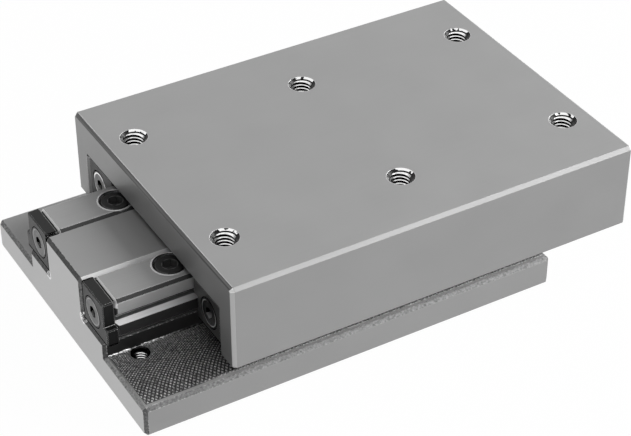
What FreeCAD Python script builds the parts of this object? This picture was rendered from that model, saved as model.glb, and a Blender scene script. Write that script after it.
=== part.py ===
import FreeCAD, Part
import math
import os

# Crossed-roller slide: a carriage that runs along a ribbed base on two pairs of V-groove rails.
# Millimetres. X is the travel, Y the width, Z is up.
# The origin is the centre of the base's bottom face.
# Left is +Y and right is -Y, front is -X and rear is +X.
# Inner pieces sit against the rib of the base, outer ones inside the walls of the carriage.
# A rail and what is on it are drawn once, at the left inner place, and then turned into the others.

Vector = FreeCAD.Vector
ORIGIN = Vector(0, 0, 0)
AXIS_X = Vector(1, 0, 0)
AXIS_Y = Vector(0, 1, 0)
AXIS_Z = Vector(0, 0, 1)

# Base and carriage
table_length = 80.0
rib_width = 14.0
base_plate = 6.0
seat_rise = 3.0
seat_setback = 0.1
seat_edge_break = 0.15
side_wall = 5.0
top_plate = 7.0
skirt_clearance = 1.65
ceiling_relief = 0.5
ceiling_land_margin = 0.3
edge_chamfer = 0.6
corner_groove_radius = 0.5

# Travel, and how far the carriage stands towards the rear from the middle of its travel
stroke = 50.0
carriage_offset = 16.4
cage_offset = carriage_offset / 2

# Rails
rail_width = 8.1
rail_height = 8.0
rail_gap = 1.8
rail_chamfer = 0.6
rail_hole_count = 3
rail_hole_inset = 12.5
back_land = 0.5
slot_width = 1.0
slot_depth = 0.4

# Rollers and cages
roller_diameter = 3.0
roller_shortness = 0.1
roller_chamfer = 0.2
roller_count = 10
race_clearance = 0.01
pocket_clearance = 0.05
cage_thickness = 0.8
cage_height = 6.4
cage_end_web = 0.65
cage_stop_clearance = 0.3

# End caps
cap_thickness = 2.2
cap_recess = 0.3
cap_clearance = 0.6
cap_chamfer = 0.2
tongue_height = 3.4
end_hole_setback = 4.0

# Screws. A threaded fit is drawn as plain walls a small clearance apart.
thread_clearance = 0.05
head_clearance = 0.25
shank_clearance = 0.2
tip_chamfer = 0.3
tap_allowance = 0.9
drill_point_slope = math.tan(math.radians(31))
small_screw_radius = 1.5
rail_screw_head_radius = 2.75
rail_screw_head_height = 3.0
rail_screw_sink = 0.1
counterbore_rim = 0.25
rail_screw_engagement = 3.1
rail_screw_socket = 2.5
end_screw_head_radius = 2.75
end_screw_rim = 0.2
end_screw_gap = 0.2
end_screw_length = 6.0
end_screw_socket = 2.0
end_screw_socket_depth = 1.1
set_screw_radius = 2.0
set_screw_recess = 0.5
set_screw_socket = 2.0
cup_depth = 0.5

# Holes for the user's screws
top_hole_radius = 2.0
top_hole_mouth = 2.5
top_hole_columns = 3
top_hole_inset = 5.8
top_hole_rows = 34.0
top_hole_floor = 2.5
base_hole_radius = 1.5
base_hole_mouth = 1.7
base_hole_inset = 5.8
base_hole_offset = 1.75

# Places that follow from the sizes above
half_length = table_length / 2
rail_length = table_length - 2 * (cap_thickness + cap_recess)
half_rail = rail_length / 2
rib_side = rib_width / 2
pair_y = rib_side + rail_width + rail_gap / 2
pocket_side = rib_side + 2 * rail_width + rail_gap
half_width = pocket_side + side_wall
seat_edge = rib_side + rail_width - seat_setback
seat_z = base_plate + seat_rise
rail_top_z = seat_z + rail_height
pair_z = seat_z + rail_height / 2
skirt_z = base_plate + skirt_clearance
ceiling_z = rail_top_z + ceiling_relief
top_z = rail_top_z + top_plate
counterbore_radius = rail_screw_head_radius + head_clearance
counterbore_depth = rail_screw_head_height + rail_screw_sink
rail_hole_y = rib_side + back_land + counterbore_radius
rail_screw_length = rail_height - counterbore_depth + rail_screw_engagement
rail_tap_depth = rail_screw_engagement + tap_allowance
end_hole_y = rib_side + end_hole_setback
rail_hole_span = rail_length - 2 * rail_hole_inset
roller_radius = roller_diameter / 2
roller_length = roller_diameter - roller_shortness
pocket_length = roller_diameter + 2 * pocket_clearance
pocket_height = roller_diameter * math.sqrt(2) + 2 * pocket_clearance
cage_length = rail_length - stroke / 2 - 2 * cage_stop_clearance
roller_span = cage_length - pocket_length - 2 * cage_end_web


def row(count, span):
    """Positions of a centred row of the given span, in equal steps."""
    return [(index / (count - 1) - 0.5) * span for index in range(count)]


def section(points, x):
    """Closed wire through (y, z) points in the plane at x."""
    corners = [Vector(x, y, z) for y, z in points]
    return Part.makePolygon(corners + corners[:1])


def bevelled(points, size, sharp):
    """Anticlockwise outline with each outward corner, but for the sharp ones, cut at the given distance."""
    outline = []
    for index, (y, z) in enumerate(points):
        before = Vector(*points[index - 1], 0) - Vector(y, z, 0)
        after = Vector(*points[(index + 1) % len(points)], 0) - Vector(y, z, 0)
        if before.cross(after).z < 0 and (y, z) not in sharp:
            for side in (before, after):
                cut = Vector(y, z, 0) + side.normalize() * size
                outline.append((cut.x, cut.y))
        else:
            outline.append((y, z))
    return outline


def shrunk(points, size):
    """Anticlockwise outline moved inwards by the given distance."""
    outline = []
    for index, (y, z) in enumerate(points):
        arriving = (Vector(y, z, 0) - Vector(*points[index - 1], 0)).normalize()
        leaving = (Vector(*points[(index + 1) % len(points)], 0) - Vector(y, z, 0)).normalize()
        inward = AXIS_Z.cross(arriving) + AXIS_Z.cross(leaving)
        move = inward * (2 * size / inward.dot(inward))
        outline.append((y + move.x, z + move.y))
    return outline


def bar(points, x_start, x_end, chamfer, sharp=()):
    """Bar along X with a bevelled section and chamfered ends."""
    full = bevelled(points, chamfer, sharp)
    tip = shrunk(full, chamfer)
    sections = [
        section(tip, x_start),
        section(full, x_start + chamfer),
        section(full, x_end - chamfer),
        section(tip, x_end),
    ]
    return Part.makeLoft(sections, True, True)


def mirrored_outline(half):
    """Full outline from its +Y half, which runs anticlockwise from the bottom to the top."""
    return half + [(-y, z) for y, z in reversed(half)]


def turned(profile):
    """Solid of revolution about Z from (radius, z) points."""
    corners = [Vector(radius, 0, z) for radius, z in profile]
    face = Part.Face(Part.makePolygon(corners + corners[:1]))
    return face.revolve(ORIGIN, AXIS_Z, 360)


def hexagon(across_flats, depth):
    """Hexagonal prism that reaches down from z = 0."""
    corner_radius = across_flats / math.sqrt(3)
    corners = []
    for index in range(7):
        angle = math.radians(60 * index)
        corners.append(Vector(corner_radius * math.cos(angle), corner_radius * math.sin(angle), 0))
    return Part.Face(Part.makePolygon(corners)).extrude(AXIS_Z * -depth)


def aimed(shape, position, direction):
    """Copy of a shape drawn along +Z, aimed along a direction and moved to a position."""
    copy = shape.copy()
    copy.Placement = FreeCAD.Placement(position, FreeCAD.Rotation(AXIS_Z, direction))
    return copy


def drilled(shape, tool, positions, direction):
    """Shape with one copy of a tool cut away at each position."""
    return shape.cut([aimed(tool, position, direction) for position in positions])


def tapped_hole(radius, depth, mouth_radius):
    """Tool for a blind hole below z = 0, with a countersunk mouth and a drilled point."""
    return turned([
        (0, 0),
        (mouth_radius, 0),
        (radius, radius - mouth_radius),
        (radius, -depth),
        (0, -depth - radius * drill_point_slope),
    ])


def cap_screw():
    """Socket-head screw whose head top is at z = 0 and whose shank points down."""
    head = rail_screw_head_radius
    under_head = -rail_screw_head_height
    tip = under_head - rail_screw_length
    blank = turned([
        (0, 0),
        (head - tip_chamfer, 0),
        (head, -tip_chamfer),
        (head, under_head),
        (small_screw_radius, under_head),
        (small_screw_radius, tip + tip_chamfer),
        (small_screw_radius - tip_chamfer, tip),
        (0, tip),
    ])
    return blank.cut(hexagon(rail_screw_socket, rail_screw_head_height / 2))


def countersunk_screw():
    """Flat-head screw whose head is flush with z = 0 and whose shank points down."""
    head = end_screw_head_radius
    blank = turned([
        (0, 0),
        (head, 0),
        (head, -end_screw_rim),
        (small_screw_radius, -end_screw_rim - (head - small_screw_radius)),
        (small_screw_radius, tip_chamfer - end_screw_length),
        (small_screw_radius - tip_chamfer, -end_screw_length),
        (0, -end_screw_length),
    ])
    return blank.cut(hexagon(end_screw_socket, end_screw_socket_depth))


def countersunk_hole():
    """Tool for a flat-head screw's hole; its cone widens to a mouth at z = 0 that clears the head."""
    mouth = end_screw_head_radius + end_screw_gap
    shank = small_screw_radius + thread_clearance
    cone_z = end_screw_gap - thread_clearance - end_screw_rim
    return turned([
        (0, 0),
        (mouth, 0),
        (mouth, cone_z),
        (shank, cone_z - (mouth - shank)),
        (shank, -end_screw_length - tap_allowance),
        (0, -end_screw_length - tap_allowance - shank * drill_point_slope),
    ])


def set_screw():
    """Headless socket screw below z = 0 that reaches the outer rail's back with a cup point."""
    radius = set_screw_radius
    length = side_wall - set_screw_recess
    blank = turned([
        (0, 0),
        (radius - tip_chamfer, 0),
        (radius, -tip_chamfer),
        (radius, cup_depth - length),
        (radius - cup_depth, -length),
        (cup_depth, -length),
        (0, cup_depth - length),
    ])
    return blank.cut(hexagon(set_screw_socket, length / 2))


def corner_grooves(y, z):
    """Tools for the undercuts along the corners at the left and the right."""
    start = -table_length
    return [
        Part.makeCylinder(corner_groove_radius, 2 * table_length, Vector(start, side * y, z), AXIS_X)
        for side in (1, -1)
    ]


def edge_breaks(y, z, size):
    """Tools that take the sharpness off the long edges at the left and the right."""
    tools = []
    for side in (1, -1):
        diamond = [(side * y - size, z), (side * y, z - size), (side * y + size, z), (side * y, z + size)]
        tools.append(Part.Face(section(diamond, -table_length)).extrude(AXIS_X * 2 * table_length))
    return tools


def rail_hole_positions():
    """Where the screws of the left inner rail stand along X."""
    return row(rail_hole_count, rail_hole_span)


def rail_taps(y, z):
    """Places of the threaded holes that take the rail screws, for both sides."""
    return [Vector(x, side * y, z) for x in rail_hole_positions() for side in (1, -1)]


def rail_groove():
    """Tool for the V groove with its relief slot, from the rail's running face."""
    apex = pair_y - (roller_radius + race_clearance) * math.sqrt(2)
    face = rib_side + rail_width
    opening = face - apex
    slot = slot_width / 2
    points = [
        (face, pair_z - opening),
        (pair_y, pair_z - opening),
        (pair_y, pair_z + opening),
        (face, pair_z + opening),
        (apex + slot, pair_z + slot),
        (apex - slot_depth, pair_z + slot),
        (apex - slot_depth, pair_z - slot),
        (apex + slot, pair_z - slot),
    ]
    return Part.Face(section(points, -half_length)).extrude(AXIS_X * table_length)


def rail():
    """Left inner rail, with counterbored holes from above and a threaded hole in each end."""
    face = rib_side + rail_width
    outline = [(rib_side, seat_z), (face, seat_z), (face, rail_top_z), (rib_side, rail_top_z)]
    shape = bar(outline, -half_rail, half_rail, rail_chamfer).cut(rail_groove())
    shank_hole = turned([
        (0, 0),
        (counterbore_radius + counterbore_rim, 0),
        (counterbore_radius, -counterbore_rim),
        (counterbore_radius, -counterbore_depth),
        (small_screw_radius + shank_clearance, -counterbore_depth),
        (small_screw_radius + shank_clearance, -rail_height),
        (0, -rail_height),
    ])
    places = [Vector(x, rail_hole_y, rail_top_z) for x in rail_hole_positions()]
    shape = drilled(shape, shank_hole, places, AXIS_Z)
    for end in (-1, 1):
        shape = drilled(shape, countersunk_hole(), [end_screw_place(end)], AXIS_X * end)
    return shape


def rail_screws():
    """The screws of the left inner rail."""
    head_z = rail_top_z - rail_screw_sink
    places = [Vector(x, rail_hole_y, head_z) for x in rail_hole_positions()]
    return Part.makeCompound([aimed(cap_screw(), place, AXIS_Z) for place in places])


def end_screw_place(end):
    """Centre of an end screw's head, flush with the end cap's outer face."""
    return Vector(end * (half_rail + cap_thickness), end_hole_y, pair_z)


def end_screw(end):
    """Screw that holds one end cap of the left inner rail."""
    return aimed(countersunk_screw(), end_screw_place(end), AXIS_X * end)


def end_cap(end):
    """Stepped cap on one end of the left inner rail; its low tongue stops the cage."""
    face = rib_side + rail_width
    tongue = face + rail_gap - cap_clearance
    outline = [
        (rib_side, seat_z),
        (tongue, seat_z),
        (tongue, seat_z + tongue_height),
        (face, seat_z + tongue_height),
        (face, rail_top_z),
        (rib_side, rail_top_z),
    ]
    x_start, x_end = sorted((end * half_rail, end * (half_rail + cap_thickness)))
    shape = bar(outline, x_start, x_end, cap_chamfer)
    return drilled(shape, countersunk_hole(), [end_screw_place(end)], AXIS_X * end)


def seated(shape, level, side):
    """Turn a piece of the left inner rail into its place on any of the four rails."""
    place = shape.copy()
    if level == "outer":
        place.rotate(Vector(0, pair_y, pair_z), AXIS_X, 180)
        place.translate(Vector(carriage_offset, 0, 0))
    if side == "right":
        place = place.mirror(ORIGIN, AXIS_Y)
    return place


def base():
    """Plate with two raised rail seats and a central rib between them."""
    outline = mirrored_outline([
        (half_width, 0),
        (half_width, base_plate),
        (seat_edge, base_plate),
        (seat_edge, seat_z),
        (rib_side, seat_z),
        (rib_side, rail_top_z),
    ])
    seat_corners = [(seat_edge, seat_z), (-seat_edge, seat_z)]
    shape = bar(outline, -half_length, half_length, edge_chamfer, seat_corners)
    shape = shape.cut(corner_grooves(rib_side, seat_z) + edge_breaks(seat_edge, seat_z, seat_edge_break))
    radius = small_screw_radius + thread_clearance
    tap = tapped_hole(radius, rail_tap_depth, radius)
    shape = drilled(shape, tap, rail_taps(rail_hole_y, seat_z), AXIS_Z)
    through = tapped_hole(base_hole_radius, base_plate, base_hole_mouth)
    places = [
        Vector(end * (half_length - base_hole_inset), side * (seat_edge + base_hole_offset), base_plate)
        for end in (-1, 1)
        for side in (-1, 1)
    ]
    return drilled(shape, through, places, AXIS_Z)


def carriage():
    """Inverted channel over the base, with the outer rails against its walls and ceiling."""
    untrimmed_z = skirt_z - 2 * edge_chamfer
    outline = mirrored_outline([
        (pocket_side, rail_top_z),
        (pocket_side, untrimmed_z),
        (half_width, untrimmed_z),
        (half_width, top_z),
    ])
    shape = bar(outline, -half_length, half_length, edge_chamfer)
    tools = corner_grooves(pocket_side, rail_top_z) + [ceiling_relief_tool(), foot_trim_tool()]
    shape = shape.cut(tools)
    radius = small_screw_radius + thread_clearance
    tap = tapped_hole(radius, rail_tap_depth, radius)
    tap_y = 2 * pair_y - rail_hole_y
    shape = drilled(shape, tap, rail_taps(tap_y, rail_top_z), -AXIS_Z)
    shape = drilled(shape, top_hole(), top_hole_positions(), AXIS_Z)
    side_hole = Part.makeCylinder(set_screw_radius + thread_clearance, side_wall)
    walls = [Vector(x, pocket_side, pair_z) for x in rail_hole_positions()]
    shape = drilled(shape, side_hole, walls, AXIS_Y)
    return shape.translate(Vector(carriage_offset, 0, 0))


def ceiling_relief_tool():
    """Tool that lifts the ceiling clear of the rib and the inner rails, between the outer rails' seats."""
    edge = pocket_side - rail_width + ceiling_land_margin
    corner = Vector(-table_length, -edge, skirt_z)
    return Part.makeBox(2 * table_length, 2 * edge, ceiling_z - skirt_z, corner)


def foot_trim_tool():
    """Tool that faces the feet off flat, so that their edges stay sharp below the chamfered sides."""
    corner = Vector(-table_length, -table_length, 0)
    return Part.makeBox(2 * table_length, 2 * table_length, skirt_z, corner)


def top_hole():
    """Tool for a threaded hole in the carriage's top."""
    return tapped_hole(top_hole_radius, top_plate - top_hole_floor, top_hole_mouth)


def top_hole_positions():
    """Two rows of holes in the carriage's top, about the carriage's own middle."""
    columns = row(top_hole_columns, table_length - 2 * top_hole_inset)
    return [Vector(x, y, top_z) for x in columns for y in row(2, top_hole_rows)]


def preload_screws():
    """Screws through the carriage's left wall that press on the left outer rail."""
    head_y = half_width - set_screw_recess
    places = [Vector(carriage_offset + x, head_y, pair_z) for x in rail_hole_positions()]
    return Part.makeCompound([aimed(set_screw(), place, AXIS_Y) for place in places])


def roller_positions():
    """Places of the rollers along a cage."""
    return row(roller_count, roller_span)


def roller(x, tilt):
    """Roller in the left pair's race, its axis tilted from Z by the given degrees about X."""
    radius = roller_radius
    half = roller_length / 2
    shape = turned([
        (0, -half),
        (radius - roller_chamfer, -half),
        (radius, roller_chamfer - half),
        (radius, half - roller_chamfer),
        (radius - roller_chamfer, half),
        (0, half),
    ])
    shape.rotate(ORIGIN, AXIS_X, tilt)
    return shape.translate(Vector(cage_offset + x, pair_y, pair_z))


def cage():
    """Strip between the left rails with one pocket for each roller."""
    corner = Vector(-cage_length / 2, -cage_thickness / 2, -cage_height / 2)
    strip = Part.makeBox(cage_length, cage_thickness, cage_height, corner)
    pockets = []
    for x in roller_positions():
        corner = Vector(x - pocket_length / 2, -cage_thickness, -pocket_height / 2)
        pockets.append(Part.makeBox(pocket_length, 2 * cage_thickness, pocket_height, corner))
    return strip.cut(pockets).translate(Vector(cage_offset, pair_y, pair_z))


def save(name, shape):
    """Write one piece to its file."""
    shape.exportStep(f"parts/{name}.step")


def save_rail_sets():
    """Four rails, each with its screws, two end caps and their screws."""
    for level in ("inner", "outer"):
        for side in ("left", "right"):
            save(f"{level}_rail_{side}", seated(rail(), level, side))
            save(f"{level}_rail_screws_{side}", seated(rail_screws(), level, side))
            for name, end in (("front", -1), ("rear", 1)):
                save(f"{level}_cap_{side}_{name}", seated(end_cap(end), level, side))
        screws = [
            seated(end_screw(end), level, side) for side in ("left", "right") for end in (-1, 1)
        ]
        save(f"{level}_end_screws", Part.makeCompound(screws))


def save_cages():
    """Two cages, each with its rollers crossed alternately."""
    for side in ("left", "right"):
        mirror = side == "right"
        strip = cage()
        save(f"cage_{side}", strip.mirror(ORIGIN, AXIS_Y) if mirror else strip)
        for index, x in enumerate(roller_positions()):
            piece = roller(x, 45 if index % 2 == 0 else -45)
            piece = piece.mirror(ORIGIN, AXIS_Y) if mirror else piece
            save(f"roller_{side}_{index + 1:02d}", piece)


os.makedirs("parts", exist_ok=True)
save("base", base())
save("carriage", carriage())
save("preload_screws", preload_screws())
save_rail_sets()
save_cages()
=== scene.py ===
"""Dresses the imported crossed-roller slide in ground steel, threads and milled texture, and lights it."""

import logging
import math
from dataclasses import dataclass, field
from enum import Enum
from typing import Any, Iterable, Union

import bmesh
import bpy
from mathutils import Matrix, Vector, noise


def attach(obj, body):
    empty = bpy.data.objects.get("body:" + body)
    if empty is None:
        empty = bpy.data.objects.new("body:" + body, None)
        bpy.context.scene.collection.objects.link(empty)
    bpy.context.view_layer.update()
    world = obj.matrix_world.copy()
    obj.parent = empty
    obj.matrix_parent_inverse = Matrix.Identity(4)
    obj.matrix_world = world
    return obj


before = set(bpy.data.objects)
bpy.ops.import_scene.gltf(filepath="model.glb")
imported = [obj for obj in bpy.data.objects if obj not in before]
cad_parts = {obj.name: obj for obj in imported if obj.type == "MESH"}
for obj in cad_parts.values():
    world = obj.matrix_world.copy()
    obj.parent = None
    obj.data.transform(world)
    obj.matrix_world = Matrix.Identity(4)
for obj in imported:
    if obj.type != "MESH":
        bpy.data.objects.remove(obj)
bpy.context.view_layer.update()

MM = 0.001
LOG = logging.getLogger("slide")

# The least share of a face's direction along one axis, or product of its shares, that makes it such a face
FLAT, SLANTED, CHAMFER, FACET = 0.95, 0.3, 0.4, 0.15
# Nearly all of the noise lies between these
NOISE_RANGE = (0.25, 0.75)
# How well a face agrees with its rounded direction, clear of an edge and on it
EDGE_TURN = (0.998, 0.95)

BMesh = bmesh.types.BMesh
Material = bpy.types.Material
Socket = bpy.types.NodeSocket
Feed = Union[Socket, float, tuple]


class Side(Enum):
    """A side of the slide, by the sign of its Y."""

    LEFT = 1
    RIGHT = -1


class End(Enum):
    """An end of the slide, by the sign of its X."""

    FRONT = -1
    REAR = 1


class Level(Enum):
    """Whether a rail is on the base or in the carriage, by the sign of the way that its land looks."""

    INNER = 1
    OUTER = -1


class Grain(Enum):
    """The way the fine marks of a finish run, as the scale of its noise along X, Y and Z, per millimetre."""

    ALONG_X = (0.05, 9.0, 9.0)
    CAST = (6.0, 6.0, 6.0)
    LINES_Y = (3.2, 0.03, 3.2)
    PATCHES = (1.3, 1.3, 0.3)
    ROUGH = (2.4, 2.4, 2.4)


@dataclass(frozen=True)
class Layout:
    """Where the slide's faces, holes and screws lie in the CAD, in millimetres."""

    carriage_x: float = 16.4
    carriage_top: float = 24.0
    rail_top: float = 17.0
    pair_y: float = 16.0
    pair_z: float = 13.0
    seat_top: float = 9.0
    seat_edge: float = 15.0
    rib_side: float = 7.0
    flange_top: float = 6.0
    hole_spacing: float = 34.2
    top_hole_y: float = 17.0
    base_hole_y: float = 16.75
    rail_screw_spacing: float = 25.0
    rail_screw_y: float = 10.5
    end_screw_step: float = 5.0
    covered_x: tuple = (-30.0, -20.0)


LAYOUT = Layout()


@dataclass(frozen=True)
class Layer:
    """One layer of noise over a finish.

    Attributes:
        grain: Cells per millimetre, along each axis or the same along all.
        tone: Share by which it changes the grey at most.
        roughness: Share by which it changes the roughness at most.
        detail: Number of finer layers in it.
    """

    grain: Union[Grain, float]
    tone: float = 0.0
    roughness: float = 0.0
    detail: float = 3.0

    @property
    def scale(self) -> tuple:
        """Cells per millimetre along each axis."""
        return self.grain.value if isinstance(self.grain, Grain) else (self.grain,) * 3


def label(choice: Enum) -> str:
    """The word for a side, end or level in the names of pieces."""
    return choice.name.lower()


class ShaderGraph:
    """One material and short ways to add nodes to it, with positions in millimetres.

    Attributes:
        material: The material.
        shader: Its surface shader.
        x, y, z: The position on the piece.
        normal: The three parts of the direction in which the surface looks.
        along, across, up: How far it looks along X, Y and Z, whichever way, from 0 to 1.
    """

    def __init__(self, name: str) -> None:
        """Start a material.

        Args:
            name: Name of the material.
        """
        self.material = bpy.data.materials.new(name)
        self.material.use_nodes = True
        self.tree = self.material.node_tree
        self.shader = self.tree.nodes["Principled BSDF"]
        coordinates = self.node("ShaderNodeTexCoord")
        self.position = self.scaled(coordinates.outputs["Object"], (1 / MM,) * 3)
        self.x, self.y, self.z = self.axes(self.position)
        self.normal = self.axes(coordinates.outputs["Normal"])
        self.along, self.across, self.up = (self.size(part) for part in self.normal)

    def node(self, kind: str, **options: Any) -> bpy.types.Node:
        """Add a node.

        Args:
            kind: Blender's name of the node's type.
            **options: Settings of the node.

        Returns:
            The new node.
        """
        node = self.tree.nodes.new(kind)
        for key, value in options.items():
            setattr(node, key, value)
        return node

    def feed(self, socket: Socket, value: Feed) -> None:
        """Link a socket to another one, or set its value.

        Args:
            socket: The input to fill.
            value: A socket to link, or a plain value.
        """
        if isinstance(value, bpy.types.NodeSocket):
            self.tree.links.new(value, socket)
        else:
            socket.default_value = value

    def scaled(self, vector: Socket, scale: tuple) -> Socket:
        """Scale a vector along each axis.

        Args:
            vector: The vector.
            scale: Its factors along X, Y and Z.

        Returns:
            The scaled vector.
        """
        node = self.node("ShaderNodeMapping")
        self.feed(node.inputs["Vector"], vector)
        self.feed(node.inputs["Scale"], scale)
        return node.outputs["Vector"]

    def axes(self, vector: Socket) -> tuple[Socket, Socket, Socket]:
        """Take a vector apart.

        Args:
            vector: The vector.

        Returns:
            Its X, Y and Z parts.
        """
        node = self.node("ShaderNodeSeparateXYZ")
        self.feed(node.inputs[0], vector)
        return tuple(node.outputs)

    def math(self, operation: str, first: Feed, second: Feed = 0.0) -> Socket:
        """A sum, product or other function of one or two values.

        Args:
            operation: Blender's name of the function.
            first: First value.
            second: Second value, for functions that take two.

        Returns:
            The result.
        """
        node = self.node("ShaderNodeMath", operation=operation)
        self.feed(node.inputs[0], first)
        self.feed(node.inputs[1], second)
        return node.outputs[0]

    def size(self, value: Socket) -> Socket:
        """A value without its sign."""
        return self.math("ABSOLUTE", value)

    def above(self, value: Socket, limit: float) -> Socket:
        """1 where a value is above a limit, and 0 elsewhere."""
        return self.math("GREATER_THAN", value, limit)

    def below(self, value: Socket, limit: float) -> Socket:
        """1 where a value is below a limit, and 0 elsewhere."""
        return self.math("LESS_THAN", value, limit)

    def outside(self, mask: Socket) -> Socket:
        """1 where a mask is 0, and 0 where it is 1."""
        return self.math("SUBTRACT", 1.0, mask)

    def flat(self, part: Socket) -> Socket:
        """1 on faces that look straight along an axis, and 0 elsewhere."""
        return self.above(part, FLAT)

    def slanted(self, first: Socket, second: Socket) -> Socket:
        """1 on chamfers between two axes and on the facets at their corners, and 0 elsewhere."""
        return self.above(self.product(first, second), SLANTED)

    def chamfered(self, first: Socket, second: Socket) -> Socket:
        """1 on chamfers between two axes but not on the facets at their corners, and 0 elsewhere."""
        return self.above(self.product(first, second), CHAMFER)

    def product(self, value: Feed, *others: Feed) -> Socket:
        """The product of two or more values, which for masks is where all of them are.

        Args:
            value: First value.
            *others: The others.

        Returns:
            The product.
        """
        for other in others:
            value = self.math("MULTIPLY", value, other)
        return value

    def either(self, mask: Socket, *others: Socket) -> Socket:
        """Where any of two or more masks is.

        Args:
            mask: First mask.
            *others: The others.

        Returns:
            The largest of them at each place.
        """
        for other in others:
            mask = self.math("MAXIMUM", mask, other)
        return mask

    def spread(self, value: Socket, low: float, high: float, to_low: float, to_high: float) -> Socket:
        """Map a value from one range to another, and hold it inside it.

        Args:
            value: The value to map.
            low: Where the range starts.
            high: Where the range ends.
            to_low: What the start becomes.
            to_high: What the end becomes.

        Returns:
            The mapped value.
        """
        node = self.node("ShaderNodeMapRange")
        for socket, entry in zip(node.inputs, (value, low, high, to_low, to_high)):
            self.feed(socket, entry)
        return node.outputs["Result"]

    def mix(self, factor: Feed, first: Feed, second: Feed) -> Socket:
        """A value between two others.

        Args:
            factor: 0 for the first value, 1 for the second.
            first: First value.
            second: Second value.

        Returns:
            The mixed value.
        """
        node = self.node("ShaderNodeMix")
        for index, entry in ((0, factor), (2, first), (3, second)):
            self.feed(node.inputs[index], entry)
        return node.outputs[0]

    def layered(self, value: Feed, *layers: tuple[Feed, Feed]) -> Socket:
        """Cover a value with others.

        Args:
            value: The lowest value.
            *layers: A mask and the value that it lets in, for each layer, from the lowest up.

        Returns:
            The value that is left at each place.
        """
        for mask, layer in layers:
            value = self.mix(mask, value, layer)
        return value

    def varied(self, value: Feed, *layers: tuple[Socket, float]) -> Socket:
        """Raise and lower a value by noise.

        Args:
            value: The value.
            *layers: Noise and the share by which it changes the value at most, for each layer.

        Returns:
            The varied value.
        """
        for marks, amount in layers:
            value = self.product(value, self.spread(marks, *NOISE_RANGE, 1 - amount, 1 + amount))
        return value

    def noise(self, layer: Layer) -> Socket:
        """Smooth noise about 0.5.

        Args:
            layer: Its scale and detail.

        Returns:
            The noise.
        """
        node = self.node("ShaderNodeTexNoise")
        self.feed(node.inputs["Vector"], self.scaled(self.position, layer.scale))
        self.feed(node.inputs["Scale"], 1.0)
        self.feed(node.inputs["Detail"], layer.detail)
        return node.outputs["Fac"]

    def patches(self, layer: Layer, limits: tuple) -> Socket:
        """Patches with soft edges: 0 where noise is below two limits and 1 where it is above."""
        return self.spread(self.noise(layer), *limits, 0.0, 1.0)

    def towards(self, parts: tuple, way: tuple) -> Socket:
        """How far the surface looks one way, from two parts of its direction and the same two of the way."""
        one, other = (self.product(part, share) for part, share in zip(parts, way))
        return self.math("ADD", one, other)

    def square_from(self, first: Socket, first_place: float, second: Socket, second_place: float) -> Socket:
        """Square of the distance from a line that runs along the third axis.

        Args:
            first: Position along one axis.
            first_place: Where the line stands along it.
            second: Position along another axis.
            second_place: Where the line stands along that one.

        Returns:
            The square of the distance, in square millimetres.
        """
        one = self.math("SUBTRACT", first, first_place)
        other = self.math("SUBTRACT", second, second_place)
        return self.math("ADD", self.product(one, one), self.product(other, other))

    def end_screw_squares(self) -> Socket:
        """Square of the distance from the axis of the nearest end screw, in square millimetres."""
        from_pair = self.size(self.math("SUBTRACT", self.size(self.y), LAYOUT.pair_y))
        return self.square_from(from_pair, LAYOUT.end_screw_step, self.z, LAYOUT.pair_z)

    def beside_carriage(self) -> Socket:
        """0 on the open front of the base and 1 where it lies below the carriage at rest."""
        return self.spread(self.x, *LAYOUT.covered_x, 0.0, 1.0)

    def rounded(self, radius: float) -> Socket:
        """The surface's direction with its edges rounded to a radius.

        Args:
            radius: The radius in millimetres.

        Returns:
            The direction.
        """
        bevel = self.node("ShaderNodeBevel", samples=6)
        self.feed(bevel.inputs["Radius"], radius * MM)
        return bevel.outputs["Normal"]

    def turn(self, radius: float) -> Socket:
        """How far the surface turns within a radius: 1 on a flat face, less on an edge, least at a corner.

        Args:
            radius: The radius in millimetres.

        Returns:
            Cosine of the angle between the rounded and the true surface.
        """
        product = self.node("ShaderNodeVectorMath", operation="DOT_PRODUCT")
        self.feed(product.inputs[0], self.rounded(radius))
        self.feed(product.inputs[1], self.node("ShaderNodeNewGeometry").outputs["True Normal"])
        return product.outputs["Value"]

    def edge(self, radius: float) -> Socket:
        """0 on a flat face and 1 along an edge as wide as the radius, in millimetres."""
        return self.spread(self.turn(radius), *EDGE_TURN, 0.0, 1.0)

    def finish(
        self, tone: Feed, roughness: Feed, metallic: Feed, height: Socket, depth: float, radius: float
    ) -> Material:
        """Link colour, roughness, metal and bump to the shader.

        Args:
            tone: Grey of the surface.
            roughness: Roughness of the surface.
            metallic: How far it is bare metal, from 0 to 1.
            height: Height of the fine marks.
            depth: Depth of the fine marks in millimetres.
            radius: Radius in millimetres to which the edges look rounded.

        Returns:
            The finished material.
        """
        bump = self.node("ShaderNodeBump")
        self.feed(bump.inputs["Distance"], depth * MM)
        self.feed(bump.inputs["Height"], height)
        self.feed(bump.inputs["Normal"], self.rounded(radius))
        for name, value in (
            ("Base Color", tone),
            ("Roughness", roughness),
            ("Metallic", metallic),
            ("Normal", bump.outputs["Normal"]),
        ):
            self.feed(self.shader.inputs[name], value)
        return self.material


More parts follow.
